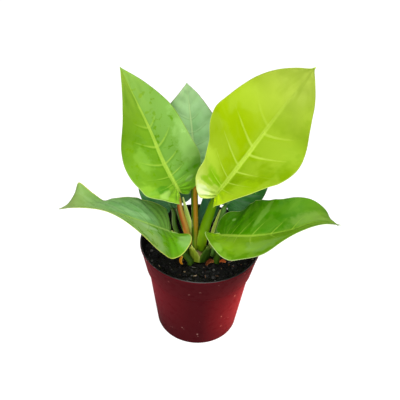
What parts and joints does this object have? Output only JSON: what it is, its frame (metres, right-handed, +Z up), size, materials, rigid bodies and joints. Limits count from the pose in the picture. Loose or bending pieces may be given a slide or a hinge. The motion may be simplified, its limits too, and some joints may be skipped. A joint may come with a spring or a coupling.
{
  "type": "potted philodendron",
  "caption": "Self-heading philodendron with upright and arching stalked leaves on a short crown, set in soil in a tapered nursery pot with a collar rim.",
  "frame": {"origin": "centre of the pot's underside pad", "axes": "+Z up along the pot's axis, -Y towards the side the picture shows"},
  "size_m": [0.334, 0.2217, 0.3587],
  "materials": {
    "pot": "matte",
    "soil": "rough",
    "crown": "rough",
    "leaf_a": "waxy",
    "stalk_a": "waxy",
    "leaf_b": "waxy",
    "stalk_b": "waxy",
    "leaf_c": "waxy",
    "stalk_c": "waxy",
    "leaf_d": "waxy",
    "stalk_d": "waxy",
    "leaf_e": "waxy",
    "stalk_e": "waxy",
    "leaf_f": "waxy",
    "stalk_f": "waxy",
    "leaf_g": "waxy",
    "stalk_g": "waxy",
    "leaf_h": "waxy",
    "stalk_h": "waxy",
    "leaf_i": "waxy",
    "stalk_i": "waxy",
    "sheath_front": "dry",
    "sheath_right": "dry",
    "sheath_pale_left": "dry",
    "sheath_pale_right": "dry",
    "scrap_yellow": "dry",
    "scrap_brown": "dry",
    "scrap_orange": "dry"
  },
  "bodies": {
    "root": {"pot": "pot", "soil": "soil", "crown": "crown", "leaf_a": "leaf_a", "stalk_a": "stalk_a", "leaf_b": "leaf_b", "stalk_b": "stalk_b", "leaf_c": "leaf_c", "stalk_c": "stalk_c", "leaf_d": "leaf_d", "stalk_d": "stalk_d", "leaf_e": "leaf_e", "stalk_e": "stalk_e", "leaf_f": "leaf_f", "stalk_f": "stalk_f", "leaf_g": "leaf_g", "stalk_g": "stalk_g", "leaf_h": "leaf_h", "stalk_h": "stalk_h", "leaf_i": "leaf_i", "stalk_i": "stalk_i", "sheath_front": "sheath_front", "sheath_right": "sheath_right", "sheath_pale_left": "sheath_pale_left", "sheath_pale_right": "sheath_pale_right", "scrap_yellow": "scrap_yellow", "scrap_brown": "scrap_brown", "scrap_orange": "scrap_orange"}
  },
  "joints": []
}
